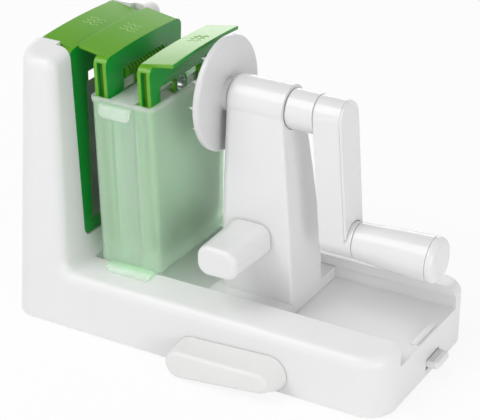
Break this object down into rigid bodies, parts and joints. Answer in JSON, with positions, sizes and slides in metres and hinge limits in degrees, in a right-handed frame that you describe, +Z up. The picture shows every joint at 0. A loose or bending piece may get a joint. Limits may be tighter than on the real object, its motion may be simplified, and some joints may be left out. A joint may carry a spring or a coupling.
{
  "type": "hand cranked spiral slicer",
  "caption": "Hand cranked spiral slicer: base with blade tower, sliding carriage with crank and spiked disc, blade cartridges in a storage box, and a suction foot with a lever.",
  "frame": {"origin": "centre of the suction cup's rim, on the table top", "axes": "+X along the base from the blade tower to the open end, +Y to the rear, away from the suction lever, +Z up"},
  "size_m": [0.3155, 0.1629, 0.2214],
  "materials": {
    "housing": "smooth moulded, light grey white",
    "lever": "smooth moulded, slightly warm white",
    "mechanism": "glossy moulded, light grey white",
    "panel": "glossy inset panel",
    "cartridge": "smooth moulded green",
    "container": "translucent pale green",
    "blade_steel": "ground stainless steel",
    "steel": "bright steel",
    "bearing": "natural low friction plastic",
    "rubber": "dark soft rubber"
  },
  "bodies": {
    "base": {"base_housing": "housing", "bottom_cover": "housing", "cover_screws": "steel", "rubber_feet": "rubber", "suction_cup": "rubber", "latch_spring": "steel"},
    "lever": {"suction_lever": "lever", "lever_shaft": "steel", "shaft_ring": "steel"},
    "cup_lift": {"cup_stem": "bearing"},
    "latch": {"release_latch": "housing"},
    "ribbon_cartridge": {"ribbon_frame": "cartridge", "ribbon_blade": "blade_steel", "ribbon_core_ring": "steel"},
    "box": {"storage_box": "container"},
    "fine_cartridge": {"fine_frame": "cartridge", "fine_blade": "blade_steel", "fine_comb": "blade_steel", "fine_core_ring": "steel"},
    "coarse_cartridge": {"coarse_frame": "cartridge", "coarse_blade": "blade_steel", "coarse_comb": "blade_steel", "coarse_core_ring": "steel"},
    "carriage": {"carriage_housing": "mechanism", "carriage_bottom": "mechanism", "carriage_screws": "steel", "rear_bush": "bearing", "front_bush": "bearing", "push_grip": "mechanism", "grip_screw": "steel"},
    "crank": {"spiked_disc": "mechanism", "drive_spindle": "steel", "disc_screw": "steel", "crank_hub": "mechanism", "crank_arm": "mechanism", "crank_arm_cover": "panel", "crank_screw": "steel", "handle_axle": "steel", "axle_ring": "steel"},
    "handle": {"crank_handle": "mechanism", "handle_cap": "panel"}
  },
  "joints": [
    {"name": "carriage_slide", "type": "slide", "parent": "base", "child": "carriage", "axis": [1, 0, 0], "range_m": [-0.003, 0.085]},
    {"name": "crank_spin", "type": "hinge", "parent": "carriage", "child": "crank", "pos_m": [0, 0, 0.18], "axis": [1, 0, 0], "continuous": true},
    {"name": "handle_spin", "type": "hinge", "parent": "crank", "child": "handle", "pos_m": [0.0585, 0, 0.0925], "axis": [1, 0, 0], "continuous": true},
    {"name": "lever_turn", "type": "hinge", "parent": "base", "child": "lever", "pos_m": [0, -0.08, 0.0144], "axis": [0, 1, 0], "range_deg": [0, 90]},
    {"name": "cup_pull", "type": "slide", "parent": "base", "child": "cup_lift", "axis": [0, 0, 1], "range_m": [0, 0.0017], "deforming": ["suction_cup"]},
    {"name": "latch_press", "type": "slide", "parent": "base", "child": "latch", "axis": [0, 0, -1], "range_m": [0, 0.003], "stiffness_N_per_m": 400, "springref_m": -0.002, "deforming": ["latch_spring"]},
    {"name": "ribbon_lift", "type": "slide", "parent": "base", "child": "ribbon_cartridge", "axis": [0, 0, 1], "range_m": [0, 0.16]},
    {"name": "box_lift", "type": "slide", "parent": "base", "child": "box", "axis": [0, 0, 1], "range_m": [0, 0.18]},
    {"name": "fine_lift", "type": "slide", "parent": "box", "child": "fine_cartridge", "axis": [0, 0, 1], "range_m": [0, 0.13]},
    {"name": "coarse_lift", "type": "slide", "parent": "box", "child": "coarse_cartridge", "axis": [0, 0, 1], "range_m": [0, 0.13]}
  ],
  "couplings": [
    {"joint": "cup_pull", "follows": "lever_turn", "m_per_rad": 0.0010186}
  ]
}
